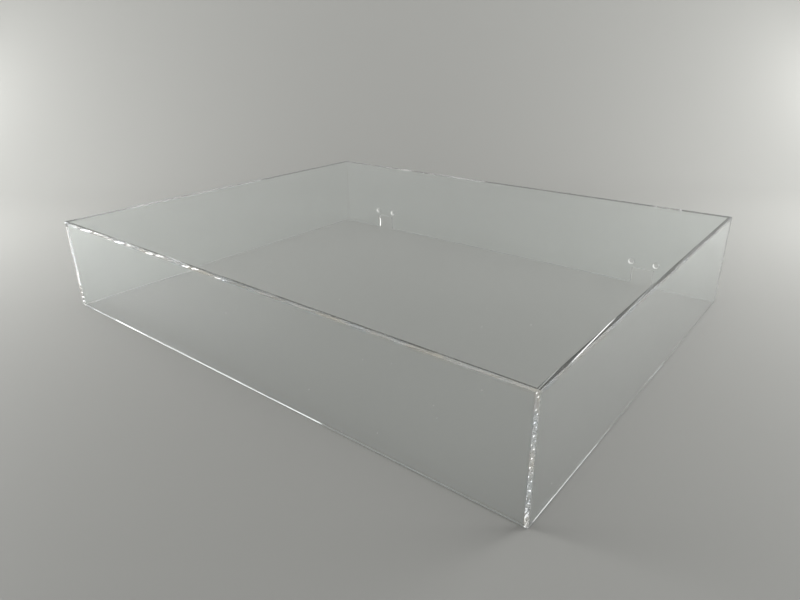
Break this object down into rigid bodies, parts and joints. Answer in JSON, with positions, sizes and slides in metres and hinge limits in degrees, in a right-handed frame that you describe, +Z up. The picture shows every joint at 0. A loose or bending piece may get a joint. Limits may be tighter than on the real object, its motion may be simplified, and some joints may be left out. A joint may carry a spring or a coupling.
{
  "type": "clear acrylic display hood",
  "caption": "Low wide hood of clear bonded acrylic sheet, open at the bottom, with hinge notches and screw holes along the lower edge of its back panel.",
  "frame": {"origin": "centre of the footprint, on the surface that the open rim stands on", "axes": "+X along the long front panel to the right, +Y to the back panel with the hinge cut-outs, +Z up to the closed top"},
  "size_m": [0.45, 0.353, 0.078],
  "materials": {
    "clear_acrylic": "polished"
  },
  "bodies": {
    "root": {"top_panel": "clear_acrylic", "front_panel": "clear_acrylic", "back_panel": "clear_acrylic", "left_panel": "clear_acrylic", "right_panel": "clear_acrylic"}
  },
  "joints": []
}
